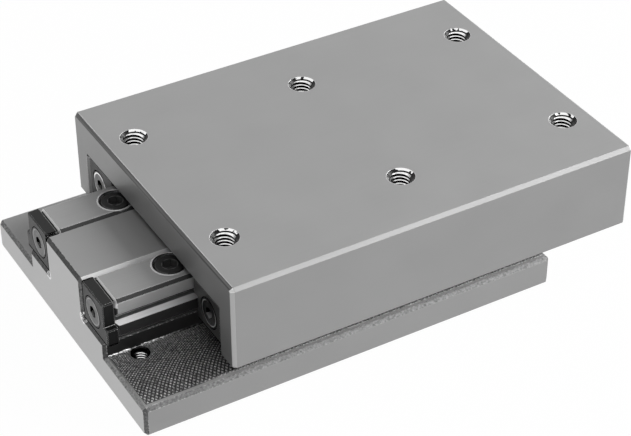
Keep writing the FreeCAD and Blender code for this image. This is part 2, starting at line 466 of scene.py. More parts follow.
@dataclass(frozen=True)
class GroundSteel:
    """Ground faces with milled chamfers, as on the carriage."""

    name: str = "carriage_steel"
    top_tone: float = 0.34
    side_tone: float = 0.315
    end_tone: float = 0.31
    side_chamfer_tone: float = 0.43
    end_chamfer_tone: float = 0.15
    corner_chamfer_tone: float = 0.47
    # Painted highlight on the carriage's corner facets.
    facet_tone: float = 0.90
    chamfer_marks: Layer = Layer(Grain.LINES_Y, tone=0.9)
    marks: Layer = Layer(Grain.ALONG_X, tone=0.025, roughness=0.10)
    clouds: Layer = Layer(0.08, tone=0.03, roughness=0.12, detail=4.0)
    mark_depth: float = 0.002
    metallic: float = 0.85
    top_metallic: float = 0.25
    top_way: float = 0.5
    roughness: float = 0.45
    end_roughness: float = 0.50
    # Painted highlight: a bevel mask lightens the edges towards edge_tone and makes them bare metal.
    edge_tone: float = 0.85
    edge_share: float = 0.9
    edge_radius: float = 0.2
    edge_highlight_width: float = 29.2
    foot_depth: float = 0.3
    top: float = LAYOUT.carriage_top
    hole_middle: float = LAYOUT.carriage_x
    hole_line: float = LAYOUT.top_hole_y
    hole_radius: float = 2.55
    hole_roughness: float = 0.25
    # Painted highlight on one side of each hole's mouth, chosen by the way the surface looks; painted shade
    # on the rest of the mouth (mouth_tone) and on the walls (wall_tone).
    mouth_highlight_tone: float = 0.95
    mouth_highlight_depth: float = 0.30
    mouth_highlight_way: float = -0.72
    highlight_patches: Layer = Layer(Grain.PATCHES, detail=1.0)
    highlight_limits: tuple = (0.40, 0.44)
    mouth_tone: float = 0.016
    mouth_marks: Layer = Layer(Grain.ROUGH, tone=0.8)
    wall_tone: float = 0.02

    def material(self) -> Material:
        """Build the material.

        Returns:
            The material.
        """
        graph = ShaderGraph(self.name)
        holes = self.holes(graph)
        edge = graph.product(self.edge_highlights(graph), graph.outside(holes))
        marks, clouds = graph.noise(self.marks), graph.noise(self.clouds)
        ground = self.tones(graph)
        milled = graph.varied(ground, (graph.noise(self.chamfer_marks), self.chamfer_marks.tone))
        tone = graph.layered(ground, (self.chamfers(graph), milled), (holes, self.hole_tones(graph)))
        tone = graph.varied(tone, (marks, self.marks.tone), (clouds, self.clouds.tone))
        # Painted highlight along the edges.
        tone = graph.mix(edge, tone, self.edge_tone)
        metallic = graph.layered(
            self.metallic,
            (graph.above(graph.up, self.top_way), self.top_metallic),
            (holes, 1.0),
            (edge, 1.0),
        )
        roughness = graph.layered(
            self.roughness, (graph.flat(graph.along), self.end_roughness), (holes, self.hole_roughness)
        )
        roughness = graph.varied(roughness, (clouds, self.clouds.roughness), (marks, self.marks.roughness))
        return graph.finish(tone, roughness, metallic, marks, self.mark_depth, self.edge_radius)

    def holes(self, graph: ShaderGraph) -> Socket:
        """Where the threaded holes and their countersinks are.

        Args:
            graph: The material's nodes.

        Returns:
            1 inside the holes' mouths and 0 elsewhere.
        """
        from_middle = graph.math("SUBTRACT", graph.x, self.hole_middle)
        along = graph.math("PINGPONG", from_middle, LAYOUT.hole_spacing / 2)
        squares = graph.square_from(along, 0.0, graph.size(graph.y), self.hole_line)
        return graph.product(graph.below(squares, self.hole_radius ** 2), graph.outside(graph.flat(graph.up)))

    def hole_tones(self, graph: ShaderGraph) -> Socket:
        """Grey inside the holes: painted shade on the walls and mouths, and a painted highlight on one side
        of each mouth.

        Args:
            graph: The material's nodes.

        Returns:
            The grey.
        """
        x, y, _ = graph.normal
        shallow = graph.above(graph.z, self.top - self.mouth_highlight_depth)
        patches = graph.patches(self.highlight_patches, self.highlight_limits)
        highlight_mask = graph.product(graph.below(graph.math("ADD", x, y), self.mouth_highlight_way), shallow, patches)
        streaks = graph.varied(self.mouth_tone, (graph.noise(self.mouth_marks), self.mouth_marks.tone))
        mouth = graph.mix(highlight_mask, streaks, self.mouth_highlight_tone)
        return graph.mix(graph.above(graph.up, SLANTED), self.wall_tone, mouth)

    def tones(self, graph: ShaderGraph) -> Socket:
        """Grey of each face by the way it looks.

        Args:
            graph: The material's nodes.

        Returns:
            The grey.
        """
        along, across, up = graph.along, graph.across, graph.up
        # The greys by face direction are partly each face's own finish and partly painted light and shade:
        # faces are lighter or darker by the way they look.
        return graph.layered(
            self.top_tone,
            (graph.flat(across), self.side_tone),
            (graph.flat(along), self.end_tone),
            (graph.slanted(across, up), self.side_chamfer_tone),
            (graph.chamfered(along, across), self.corner_chamfer_tone),
            (graph.above(graph.product(along, across, up), FACET), self.facet_tone),
            (graph.chamfered(along, up), self.end_chamfer_tone),
        )

    def chamfers(self, graph: ShaderGraph) -> Socket:
        """Where the rough milled chamfers are: 1 on them and 0 elsewhere."""
        return graph.chamfered(graph.along, graph.up)

    def edge_highlights(self, graph: ShaderGraph) -> Socket:
        """Where a painted highlight lightens the edges: not on the ends, at the foot of their chamfers or far
        out.

        Args:
            graph: The material's nodes.

        Returns:
            How strong the painted highlight is, from 0 to 1.
        """
        end_chamfer = graph.chamfered(graph.along, graph.up)
        foot = graph.product(end_chamfer, graph.below(graph.z, self.top - self.foot_depth))
        far_out = graph.above(graph.size(graph.y), self.edge_highlight_width)
        left_out = graph.either(foot, far_out, graph.flat(graph.along))
        return graph.product(graph.edge(self.edge_radius), self.edge_share, graph.outside(left_out))


@dataclass(frozen=True)
class BaseSteel(GroundSteel):
    """The base's faces: bright rib and front, duller flanges, and sides of the rail seats dark as painted
    shade.
    """

    name: str = "base_steel"
    end_tone: float = 0.52
    side_chamfer_tone: float = 0.80
    end_chamfer_tone: float = 0.42
    corner_chamfer_tone: float = 0.13
    facet_tone: float = 0.13
    chamfer_marks: Layer = Layer(Grain.ROUGH, tone=0.6)
    end_roughness: float = 0.45
    edge_tone: float = 0.7
    edge_radius: float = 0.16
    edge_highlight_width: float = 31.0
    top: float = LAYOUT.rail_top
    hole_middle: float = 0.0
    hole_line: float = LAYOUT.base_hole_y
    hole_radius: float = 1.75
    # The base's hole mouths get no painted highlight: the band is as dark as the painted shade around it.
    mouth_highlight_tone: float = 0.02
    wall_tone: float = 0.015
    # Patches in which the painted edge highlight shows.
    edge_highlight_patches: Layer = Layer(Grain.ROUGH)
    edge_highlight_limits: tuple = (0.48, 0.60)
    flange_level: float = LAYOUT.flange_top + 0.05
    flange_tone: float = 0.43
    flange_chamfer_tone: float = 0.17
    # Painted light: the flange's outer rim and its chamfer are lighter where the carriage stands over them at
    # rest, against the carriage's shadow.
    rim_light_tone: float = 0.80
    rim_chamfer_light_tone: float = 0.23
    rim_width: float = 28.5
    side_width: float = 29.7
    # Painted shade: the sides of the rail seats are near black.
    seat_side_shade_tone: float = 0.06
    seat_side_way: float = 0.6
    seat_side_level: float = LAYOUT.seat_top + 0.01
    seat_side_width: float = LAYOUT.seat_edge + 0.2
    seat_level: float = LAYOUT.seat_top + 0.05
    seat_chamfer_tone: float = 0.11
    rib_chamfer_tone: float = 0.075
    left_chamfer_tone: float = 0.26
    # Painted glints at the ends of the grooves in the seats' corners.
    groove_glint_tone: float = 0.9
    groove_radius: float = 1.1
    groove_x: float = 39.2
    glint_specks: Layer = Layer(2.2)
    glint_limit: float = 0.44

    def low(self, graph: ShaderGraph) -> Socket:
        """1 as high as the flanges and below, and 0 elsewhere."""
        return graph.below(graph.z, self.flange_level)

    def tones(self, graph: ShaderGraph) -> Socket:
        """Grey of each face by the way it looks and where it lies.

        Args:
            graph: The material's nodes.

        Returns:
            The grey.
        """
        low = self.low(graph)
        width = graph.size(graph.y)
        seat = graph.product(
            graph.below(graph.z, self.seat_side_level), graph.below(width, self.seat_side_width)
        )
        beside = graph.beside_carriage()
        # Painted light on the rim below the carriage.
        rim = graph.product(beside, graph.above(width, self.rim_width))
        shaded_tone = graph.layered(
            self.rib_chamfer_tone,
            (graph.below(graph.z, self.seat_level), self.seat_chamfer_tone),
            (low, self.left_chamfer_tone),
        )
        end_chamfer = graph.chamfered(graph.along, graph.up)
        shaded = graph.product(end_chamfer, graph.above(graph.y, -LAYOUT.seat_edge))
        return graph.layered(
            super().tones(graph),
            (graph.product(graph.flat(graph.up), low), graph.mix(rim, self.flange_tone, self.rim_light_tone)),
            (graph.product(graph.above(graph.across, self.seat_side_way), seat), self.seat_side_shade_tone),
            (
                graph.product(graph.slanted(graph.across, graph.up), low),
                graph.mix(beside, self.flange_chamfer_tone, self.rim_chamfer_light_tone),
            ),
            (shaded, shaded_tone),
            (self.groove_glints(graph), self.groove_glint_tone),
        )

    def groove_glints(self, graph: ShaderGraph) -> Socket:
        """Where painted glints light the ends of the grooves in the seats' corners.

        Args:
            graph: The material's nodes.

        Returns:
            1 on the glints and 0 elsewhere.
        """
        squares = graph.square_from(graph.size(graph.y), LAYOUT.rib_side, graph.z, LAYOUT.seat_top)
        near = graph.below(squares, self.groove_radius ** 2)
        at_end = graph.above(graph.size(graph.x), self.groove_x)
        return graph.product(near, at_end, graph.above(graph.noise(self.glint_specks), self.glint_limit))

    def chamfers(self, graph: ShaderGraph) -> Socket:
        """Where the rough milled chamfers are: 1 on them and 0 elsewhere."""
        flange = graph.product(graph.slanted(graph.across, graph.up), self.low(graph))
        return graph.either(flange, graph.chamfered(graph.along, graph.either(graph.across, graph.up)))

    def edge_highlights(self, graph: ShaderGraph) -> Socket:
        """Where a painted highlight lightens the edges, in patches: not on the sides beside the carriage.

        Args:
            graph: The material's nodes.

        Returns:
            How strong the painted highlight is, from 0 to 1.
        """
        patches = graph.patches(self.edge_highlight_patches, self.edge_highlight_limits)
        side = graph.product(graph.beside_carriage(), graph.above(graph.size(graph.y), self.side_width))
        return graph.product(super().edge_highlights(graph), patches, graph.outside(side))


@dataclass(frozen=True)
class RailSteel:
    """A hardened rail: ground back, land and races, dark chamfers, and a side dark as painted shade."""

    level: Level
    middle_x: float = 0.0
    tone: float = 0.36
    land_tone: float = 0.58
    race_tone: float = 0.85
    # Painted glints on the upper part of the broken upright corners at the rail's ends.
    burnished_tone: float = 0.95
    glint_height: float = 2.4
    # Painted highlight on the chamfers that look along X, such as the counterbore rims; darker at the rail's
    # ends.
    end_tone: float = 0.95
    end_foot_tone: float = 0.01
    foot_x: float = 37.2
    # Painted shade: the faces that look across the rail, beyond the races from the land, are dark.
    side_tone: float = 0.05
    chamfer_tone: float = 0.035
    race_half: float = 1.3
    roughness: float = 0.38
    metallic: float = 0.4
    # Painted highlight along the rail's edges, light and bare metal: in the middle of the rail and on the
    # broken corners at its ends.
    edge_tone: float = 0.75
    edge_metallic: float = 0.9
    edge_radius: float = 0.18
    edge_share: float = 0.8
    edge_highlight_x: float = 36.7
    marks: Layer = Layer(Grain.ALONG_X, tone=0.05)
    clouds: Layer = Layer(0.15, tone=0.04, roughness=0.15, detail=4.0)
    mark_depth: float = 0.002
    rounding: float = 0.1

    def material(self) -> Material:
        """Build the material.

        Returns:
            The material.
        """
        graph = ShaderGraph(f"{label(self.level)}_rail_steel")
        from_middle = graph.size(graph.math("SUBTRACT", graph.x, self.middle_x))
        corner = graph.slanted(graph.along, graph.across)
        highlighted = graph.either(corner, graph.below(from_middle, self.edge_highlight_x))
        edge = graph.product(graph.edge(self.edge_radius), self.edge_share, highlighted)
        marks, clouds = graph.noise(self.marks), graph.noise(self.clouds)
        tone = self.tones(graph, from_middle, corner)
        tone = graph.varied(tone, (marks, self.marks.tone), (clouds, self.clouds.tone))
        # Painted highlight along the edges.
        tone = graph.mix(edge, tone, self.edge_tone)
        roughness = graph.varied(self.roughness, (clouds, self.clouds.roughness))
        metallic = graph.mix(edge, self.metallic, self.edge_metallic)
        return graph.finish(tone, roughness, metallic, marks, self.mark_depth, self.rounding)

    def tones(self, graph: ShaderGraph, from_middle: Socket, corner: Socket) -> Socket:
        """Grey of each face by the way it looks and where it lies.

        Args:
            graph: The material's nodes.
            from_middle: Distance from the rail's middle along X, in millimetres.
            corner: Where the upright edges at the rail's ends are broken.

        Returns:
            The grey.
        """
        height = graph.product(graph.math("SUBTRACT", graph.z, LAYOUT.pair_z), self.level.value)
        land = graph.above(height, 0.0)
        in_race = graph.below(graph.size(height), self.race_half)
        at_foot = graph.above(from_middle, self.foot_x)
        # Painted glints high on the end corners.
        glinting = graph.above(height, self.glint_height)
        return graph.layered(
            self.tone,
            (graph.flat(graph.across), graph.mix(land, self.side_tone, self.land_tone)),
            (graph.slanted(graph.across, graph.up), graph.mix(in_race, self.chamfer_tone, self.race_tone)),
            (graph.slanted(graph.along, graph.up), graph.mix(at_foot, self.end_tone, self.end_foot_tone)),
            (corner, graph.mix(glinting, self.chamfer_tone, self.burnished_tone)),
        )


@dataclass(frozen=True)
class BlackFinish:
    """Dark oxide or moulded black, with a painted highlight along the edges and glints at the corners, and
    painted shade round the end screws and at the inner caps' seams.
    """

    name: str
    tone: float
    end_tone: float
    edge_tone: float
    roughness: float
    metallic: float = 0.0
    specular: float = 0.2
    edge_metallic: float = 0.8
    edge_radius: float = 0.09
    edge_share: float = 0.6
    chamfer_tone: float = 0.10
    # Painted glints at the corners.
    corner_tone: float = 0.95
    corner_radius: float = 0.3
    corner_turn: tuple = (0.86, 0.74)
    # Painted shade: the cones round the end screws and the seams by the rib and seat are near black with no
    # sheen.
    cone_tone: float = 0.002
    cone_radius: float = 3.05
    cone_gap: float = 0.2
    seam_y: float = 7.5
    seam_z: float = 9.5
    # Painted light: the sockets of the rail screws are lifted out of their shade.
    socket_tone: float = 0.05
    socket_radius: float = 1.44
    marks: Layer = Layer(Grain.CAST, tone=0.2, roughness=0.12)
    clouds: Layer = Layer(0.6, tone=0.25, roughness=0.15, detail=4.0)
    mark_depth: float = 0.01
    rounding: float = 0.08

    def material(self) -> Material:
        """Build the material.

        Returns:
            The material.
        """
        graph = ShaderGraph(self.name)
        squares = graph.end_screw_squares()
        slanted = graph.product(graph.above(graph.along, CHAMFER), graph.below(graph.along, FLAT))
        cone = graph.product(slanted, graph.below(squares, self.cone_radius ** 2))
        dark = graph.either(self.seam(graph), cone)
        edge = graph.product(graph.edge(self.edge_radius), self.edge_share, graph.outside(dark))
        corner = graph.spread(graph.turn(self.corner_radius), *self.corner_turn, 0.0, 1.0)
        corner = graph.product(corner, graph.above(squares, (self.cone_radius + self.cone_gap) ** 2))
        marks, clouds = graph.noise(self.marks), graph.noise(self.clouds)
        tone = graph.layered(
            self.tone,
            (graph.flat(graph.along), self.end_tone),
            (slanted, self.chamfer_tone),
            (dark, self.cone_tone),
            (self.sockets(graph), self.socket_tone),
        )
        tone = graph.varied(tone, (clouds, self.clouds.tone), (marks, self.marks.tone))
        # Painted highlights along the edges and at the corners.
        tone = graph.layered(tone, (edge, self.edge_tone), (corner, self.corner_tone))
        roughness = graph.varied(
            self.roughness, (clouds, self.clouds.roughness), (marks, self.marks.roughness)
        )
        metallic = graph.layered(self.metallic, (edge, self.edge_metallic), (corner, 1.0))
        graph.feed(graph.shader.inputs["Specular IOR Level"], graph.mix(dark, self.specular, 0.0))
        return graph.finish(tone, roughness, metallic, marks, self.mark_depth, self.rounding)

    def seam(self, graph: ShaderGraph) -> Socket:
        """Where an inner cap meets the rib and the seat, painted dark as shade: 1 there and 0 elsewhere."""
        return graph.either(graph.below(graph.size(graph.y), self.seam_y), graph.below(graph.z, self.seam_z))

    def sockets(self, graph: ShaderGraph) -> Socket:
        """Where the sockets of the rail screws are.

        Args:
            graph: The material's nodes.

        Returns:
            1 in them and 0 elsewhere.
        """
        along = graph.math("PINGPONG", graph.x, LAYOUT.rail_screw_spacing / 2)
        squares = graph.square_from(along, 0.0, graph.size(graph.y), LAYOUT.rail_screw_y)
        return graph.below(squares, self.socket_radius ** 2)


@dataclass(frozen=True)
class BrightFinish:
    """Bare steel of the small parts: stamped strip, rounded lips and polished rollers, with a painted
    highlight along the edges.
    """

    name: str
    tone: float
    roughness: float
    marks: Layer
    clouds: Layer
    edge_highlight_gain: float = 3.5
    edge_share: float = 0.7
    edge_radius: float = 0.12
    mark_depth: float = 0.003
    rounding: float = 0.06

    def material(self) -> Material:
        """Build the material.

        Returns:
            The material.
        """
        graph = ShaderGraph(self.name)
        marks, clouds = graph.noise(self.marks), graph.noise(self.clouds)
        edge = graph.product(graph.edge(self.edge_radius), self.edge_share)
        tone = graph.varied(self.tone, (clouds, self.clouds.tone), (marks, self.marks.tone))
        # Painted highlight along the edges.
        tone = graph.mix(edge, tone, min(1.0, self.tone * self.edge_highlight_gain))
        roughness = graph.varied(
            self.roughness, (clouds, self.clouds.roughness), (marks, self.marks.roughness)
        )
        return graph.finish(tone, roughness, 1.0, marks, self.mark_depth, self.rounding)


@dataclass(frozen=True)
class EndScrewFinish:
    """Turned screw heads: mottled faces with a painted highlight on the rim, a ring of painted shade, and a
    socket in painted shade with a painted highlight on one wall.
    """

    name: str = "end_screw_steel"
    face_tone: float = 0.095
    # Painted highlight on the rim, strongest on the screws in the carriage; painted highlight on the socket's
    # wall that looks one way (wall_tone).
    rim_light_tone: float = 0.26
    outer_rim_highlight_tone: float = 0.95
    wall_tone: float = 0.85
    shaded_tone: float = 0.01
    roughness: float = 0.36
    rim_radius: float = 2.24
    gap_radius: float = 2.5
    socket_radius: float = 1.25
    face_x: float = 39.5
    wall_way: float = 0.3
    lit_way: tuple = (-0.5, 0.87)
    lit_limit: float = 0.8
    highlight_patches: Layer = Layer(0.35)
    highlight_limits: tuple = (0.40, 0.52)
    marks: Layer = Layer(Grain.CAST, tone=0.4, roughness=0.1)
    clouds: Layer = Layer(1.3, tone=0.9, roughness=0.2, detail=4.0)
    mark_depth: float = 0.006
    rounding: float = 0.02

    def material(self) -> Material:
        """Build the material.

        Returns:
            The material.
        """
        graph = ShaderGraph(self.name)
        squares = graph.end_screw_squares()
        marks, clouds = graph.noise(self.marks), graph.noise(self.clouds)
        lit = graph.above(graph.towards(graph.normal[1:], self.lit_way), self.lit_limit)
        in_socket = graph.product(graph.below(squares, self.socket_radius ** 2), self.sunk(graph))
        highlight_mask = graph.patches(self.highlight_patches, self.highlight_limits)
        rim = graph.product(graph.above(squares, self.rim_radius ** 2), highlight_mask)
        tone = graph.layered(
            graph.varied(self.face_tone, (clouds, self.clouds.tone), (marks, self.marks.tone)),
            (rim, graph.mix(self.outer(graph), self.rim_light_tone, self.outer_rim_highlight_tone)),
            (graph.above(squares, self.gap_radius ** 2), self.shaded_tone),
            (in_socket, graph.mix(lit, self.shaded_tone, self.wall_tone)),
        )
        roughness = graph.varied(
            self.roughness, (clouds, self.clouds.roughness), (marks, self.marks.roughness)
        )
        return graph.finish(tone, roughness, 1.0, marks, self.mark_depth, self.rounding)

    def outer(self, graph: ShaderGraph) -> Socket:
        """1 on the screws in the carriage and 0 on those in the base."""
        return graph.above(graph.size(graph.y), LAYOUT.pair_y)

    def sunk(self, graph: ShaderGraph) -> Socket:
        """Where the surface is a wall, or lies deeper than the faces of the heads.

        Args:
            graph: The material's nodes.

        Returns:
            1 there and 0 elsewhere.
        """
        carriage_x = graph.math("SUBTRACT", graph.x, LAYOUT.carriage_x)
        from_middle = graph.size(graph.mix(self.outer(graph), graph.x, carriage_x))
        return graph.either(graph.below(from_middle, self.face_x), graph.below(graph.along, self.wall_way))


@dataclass(frozen=True)
class ThreadFinish:
    """Cut threads: crests with broken edges that carry a painted highlight on one side, and the rest in
    painted shade.
    """

    name: str = "thread_steel"
    crest_highlight_tone: float = 0.95
    shaded_tone: float = 0.03
    roughness: float = 0.25
    lit_way: tuple = (-0.63, -0.78)
    lit_limits: tuple = (0.35, 0.6)
    broken_edge: tuple = (0.5, 0.85)
    marks: Layer = Layer(2.0, tone=0.4, roughness=0.3, detail=4.0)
    mark_depth: float = 0.003
    rounding: float = 0.02

    def material(self) -> Material:
        """Build the material.

        Returns:
            The material.
        """
        graph = ShaderGraph(self.name)
        least, most = self.broken_edge
        upwards = graph.normal[2]
        broken_edge = graph.product(graph.above(upwards, least), graph.below(upwards, most))
        outward = graph.towards(graph.normal[:2], self.lit_way)
        lit = graph.product(graph.spread(outward, *self.lit_limits, 0.0, 1.0), broken_edge)
        marks = graph.noise(self.marks)
        tone = graph.varied(graph.mix(lit, self.shaded_tone, self.crest_highlight_tone), (marks, self.marks.tone))
        roughness = graph.varied(self.roughness, (marks, self.marks.roughness))
        return graph.finish(tone, roughness, 1.0, marks, self.mark_depth, self.rounding)


@dataclass(frozen=True)
class BurrFinish:
    """A torn corner of the seat: bright specks that thin out towards the middle of the base."""

    name: str = "burr_steel"
    bright_tone: float = 0.85
    dark_tone: float = 0.06
    roughness: float = 0.35
    bright_x: float = 31.0
    dark_x: float = 25.0
    speck_limits: tuple = (0.40, 0.58)
    speck_shares: tuple = (0.12, 1.0)
    marks: Layer = Layer(2.8, roughness=0.3, detail=4.0)
    mark_depth: float = 0.01
    rounding: float = 0.05

    def material(self) -> Material:
        """Build the material.

        Returns:
            The material.
        """
        graph = ShaderGraph(self.name)
        marks = graph.noise(self.marks)
        specks = graph.spread(marks, *self.speck_limits, *self.speck_shares)
        from_middle = graph.size(graph.x)
        level = graph.spread(from_middle, self.dark_x, self.bright_x, self.dark_tone, self.bright_tone)
        tone = graph.product(level, specks)
        roughness = graph.varied(self.roughness, (marks, self.marks.roughness))
        return graph.finish(tone, roughness, 1.0, marks, self.mark_depth, self.rounding)


@dataclass(frozen=True)
class MilledTexture:
    """Crossed cutter marks, with a painted highlight on their crests, painted shade in the valleys, and a
    painted light rim where the carriage covers the flange at rest.
    """

    name: str = "milled_texture"
    floor_height: float = 6.025
    crest_height: float = 6.052
    valley_shade_tone: float = 0.05
    crest_highlight_tone: float = 0.52
    outer_y: float = -25.0
    outer_gain: float = 1.1
    seat_y: float = -17.0
    seat_gain: float = 1.38
    rim_light_tone: float = 0.95
    rim_y: float = -28.7
    rim_start_y: float = -28.3
    roughness: float = 0.38
    metallic: float = 0.5
    marks: Layer = Layer(2.6, tone=0.85, roughness=0.25, detail=4.0)
    specks: Layer = Layer(4.5, tone=0.9)
    mark_depth: float = 0.004
    rounding: float = 0.03

    def material(self) -> Material:
        """Build the material.

        Returns:
            The material.
        """
        graph = ShaderGraph(self.name)
        marks, specks = graph.noise(self.marks), graph.noise(self.specks)
        # Painted light and shade: the grey rises with height, from the valleys to the crests.
        tone = graph.spread(graph.z, self.floor_height, self.crest_height, self.valley_shade_tone, self.crest_highlight_tone)
        gain = graph.spread(graph.y, self.outer_y, self.seat_y, self.outer_gain, self.seat_gain)
        # Painted light on the outer rim below the carriage, against its shadow.
        at_rim = graph.spread(graph.y, self.rim_start_y, self.rim_y, 0.0, 1.0)
        rim = graph.product(graph.beside_carriage(), at_rim)
        tone = graph.mix(rim, graph.product(tone, gain), self.rim_light_tone)
        tone = graph.varied(tone, (marks, self.marks.tone), (specks, self.specks.tone))
        roughness = graph.varied(self.roughness, (marks, self.marks.roughness))
        return graph.finish(tone, roughness, self.metallic, marks, self.mark_depth, self.rounding)


class Finishes:
    """The slide's finishes, each made once."""

    def __init__(self) -> None:
        """Build every material."""
        self.carriage = GroundSteel().material()
        self.base = BaseSteel().material()
        self.rail = {
            Level.INNER: RailSteel(Level.INNER).material(),
            Level.OUTER: RailSteel(Level.OUTER, middle_x=LAYOUT.carriage_x).material(),
        }
        self.cap = BlackFinish(
            "cap_black", tone=0.010, end_tone=0.05, edge_tone=0.16, roughness=0.42
        ).material()
        # The screws' sockets are painted lighter, against their shade.
        self.screw = BlackFinish(
            "screw_black", tone=0.022, end_tone=0.022, edge_tone=0.06, roughness=0.36, metallic=0.3,
            corner_tone=0.05, socket_tone=0.18,
        ).material()
        self.end_screw = EndScrewFinish().material()
        self.cage = self.bright("cage_strip_steel", tone=0.42, roughness=0.34, wear=0.1, grain=Grain.ALONG_X)
        self.roller = self.bright("roller_steel", tone=0.62, roughness=0.12, wear=0.04, grain=Grain.CAST)
        self.thread = ThreadFinish().material()
        self.lip = self.bright("rail_lip_steel", tone=0.34, roughness=0.35, wear=0.06, grain=Grain.CAST)
        self.burr = BurrFinish().material()
        self.milled = MilledTexture().material()

    def bright(self, name: str, tone: float, roughness: float, wear: float, grain: Grain) -> Material:
        """Build a bright finish.

        Args:
            name: Name of the material.
            tone: Its grey.
            roughness: Its roughness.
            wear: Share by which clouds change the grey at most; the marks change it by half of that.
            grain: The way its marks run.

        Returns:
            The material.
        """
        marks = Layer(grain, tone=wear / 2, roughness=0.1)
        clouds = Layer(0.8, tone=wear, roughness=0.2, detail=4.0)
        return BrightFinish(name, tone, roughness, marks, clouds).material()


def dress(node: str, material: Material) -> None:
    """Give every slot of a CAD node one material.

    Args:
        node: Name of the node.
        material: The material.
    """
    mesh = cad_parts[node].data
    if not mesh.materials:
        mesh.materials.append(material)
    for index in range(len(mesh.materials)):
        mesh.materials[index] = material
    LOG.info("dressed %s in %s", node, material.name)


def place(name: str, mesh: BMesh, material: Material, body: str) -> None:
    """Turn a bmesh, in millimetres, into a piece that rides on a body.

    Args:
        name: Name of the piece.
        mesh: Its shape; it is freed here.
        material: Its material.
        body: The body that it moves with.
    """
    bmesh.ops.transform(mesh, matrix=Matrix.Scale(MM, 4), verts=mesh.verts)
    bmesh.ops.recalc_face_normals(mesh, faces=mesh.faces)
    data = bpy.data.meshes.new(name)
    mesh.to_mesh(data)
    mesh.free()
    data.materials.append(material)
    piece = bpy.data.objects.new(name, data)
    bpy.context.scene.collection.objects.link(piece)
    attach(piece, body)
    LOG.info("built %s with %d faces", name, len(data.polygons))


def verts_of(geometry: Iterable[Any]) -> list[bmesh.types.BMVert]:
    """The vertices among the vertices, edges and faces that an operator returns."""
    return [item for item in geometry if isinstance(item, bmesh.types.BMVert)]


def about_z(mesh: BMesh, degrees: float) -> None:
    """Turn a mesh about the Z axis."""
    turn = Matrix.Rotation(math.radians(degrees), 3, "Z")
    bmesh.ops.rotate(mesh, verts=mesh.verts, cent=(0, 0, 0), matrix=turn)


@dataclass
class ThreadCoil:
    """The ridge of a right-hand internal thread: a closed helical coil that runs out in the hole's mouth."""

    major_radius: float
    minor_radius: float
    pitch: float
    start: float
    depth: float
    cone_depth: float = 0.5
    start_angle: float = 130.0
    steps: int = 32
    root_share: float = 0.40
    crest_shares: tuple = (0.03, -0.12)
    broken_share: float = 0.33
    root_gap: float = 0.02
    crest_gap: float = 0.01

    def build(self, mouth: Vector) -> BMesh:
        """Spin the ridge's section down the hole.

        Args:
            mouth: Centre of the hole's mouth, level with the face around it, in millimetres.

        Returns:
            The coil.
        """
        mesh = bmesh.new()
        corners = ((radius, 0.0, self.pitch * share - self.start) for radius, share in self.section())
        section = mesh.faces.new([mesh.verts.new(corner) for corner in corners])
        turns = self.depth / self.pitch
        bmesh.ops.spin(
            mesh, geom=[section, *section.edges, *section.verts], axis=(0, 0, 1), cent=(0, 0, 0),
            dvec=(0, 0, -self.pitch / self.steps), angle=-2 * math.pi * turns,
            steps=round(self.steps * turns), use_merge=False,
        )
        self.run_out(mesh)
        about_z(mesh, self.start_angle)
        bmesh.ops.translate(mesh, verts=mesh.verts, vec=mouth)
        return mesh

    def section(self) -> tuple[tuple[float, float], ...]:
        """Corners of the section, with the upper edge of its crest broken.

        Returns:
            Radius, and height as a share of the pitch, of each corner.
        """
        broken = self.broken_share * (self.major_radius - self.minor_radius)
        upper, lower = self.crest_shares
        return (
            (self.major_radius + self.root_gap, self.root_share),
            (self.minor_radius + broken, upper + broken / self.pitch),
            (self.minor_radius, upper),
            (self.minor_radius, lower),
            (self.major_radius + self.root_gap, -self.root_share),
        )

    def run_out(self, mesh: BMesh) -> None:
        """Push the first turns out to the cone of the hole's mouth.

        Args:
            mesh: The coil, with the mouth at the origin.
        """
        for vert in mesh.verts:
            radius = vert.co.xy.length
            gap = self.root_gap if radius > self.major_radius else self.crest_gap
            cone_radius = self.major_radius + vert.co.z + self.cone_depth
            vert.co.xy *= max(radius, cone_radius + gap) / radius


@dataclass
class Carriage:
    """The inverted channel with six threaded holes in its top."""

    rows: tuple = (-LAYOUT.hole_spacing, 0.0, LAYOUT.hole_spacing)
    thread: ThreadCoil = field(
        default_factory=lambda: ThreadCoil(
            major_radius=2.0, minor_radius=1.62, pitch=0.7, start=0.5, depth=3.8
        )
    )

    def build(self, finishes: Finishes) -> None:
        """Dress the channel and thread its holes.

        Args:
            finishes: The slide's finishes.
        """
        dress("carriage", finishes.carriage)
        dress("preload_screws", finishes.screw)
        for row, x in enumerate(self.rows):
            for side in Side:
                mouth = Vector((LAYOUT.carriage_x + x, side.value * LAYOUT.top_hole_y, LAYOUT.carriage_top))
                name = f"top_thread_{label(side)}_{row + 1}"
                place(name, self.thread.build(mouth), finishes.thread, "carriage")


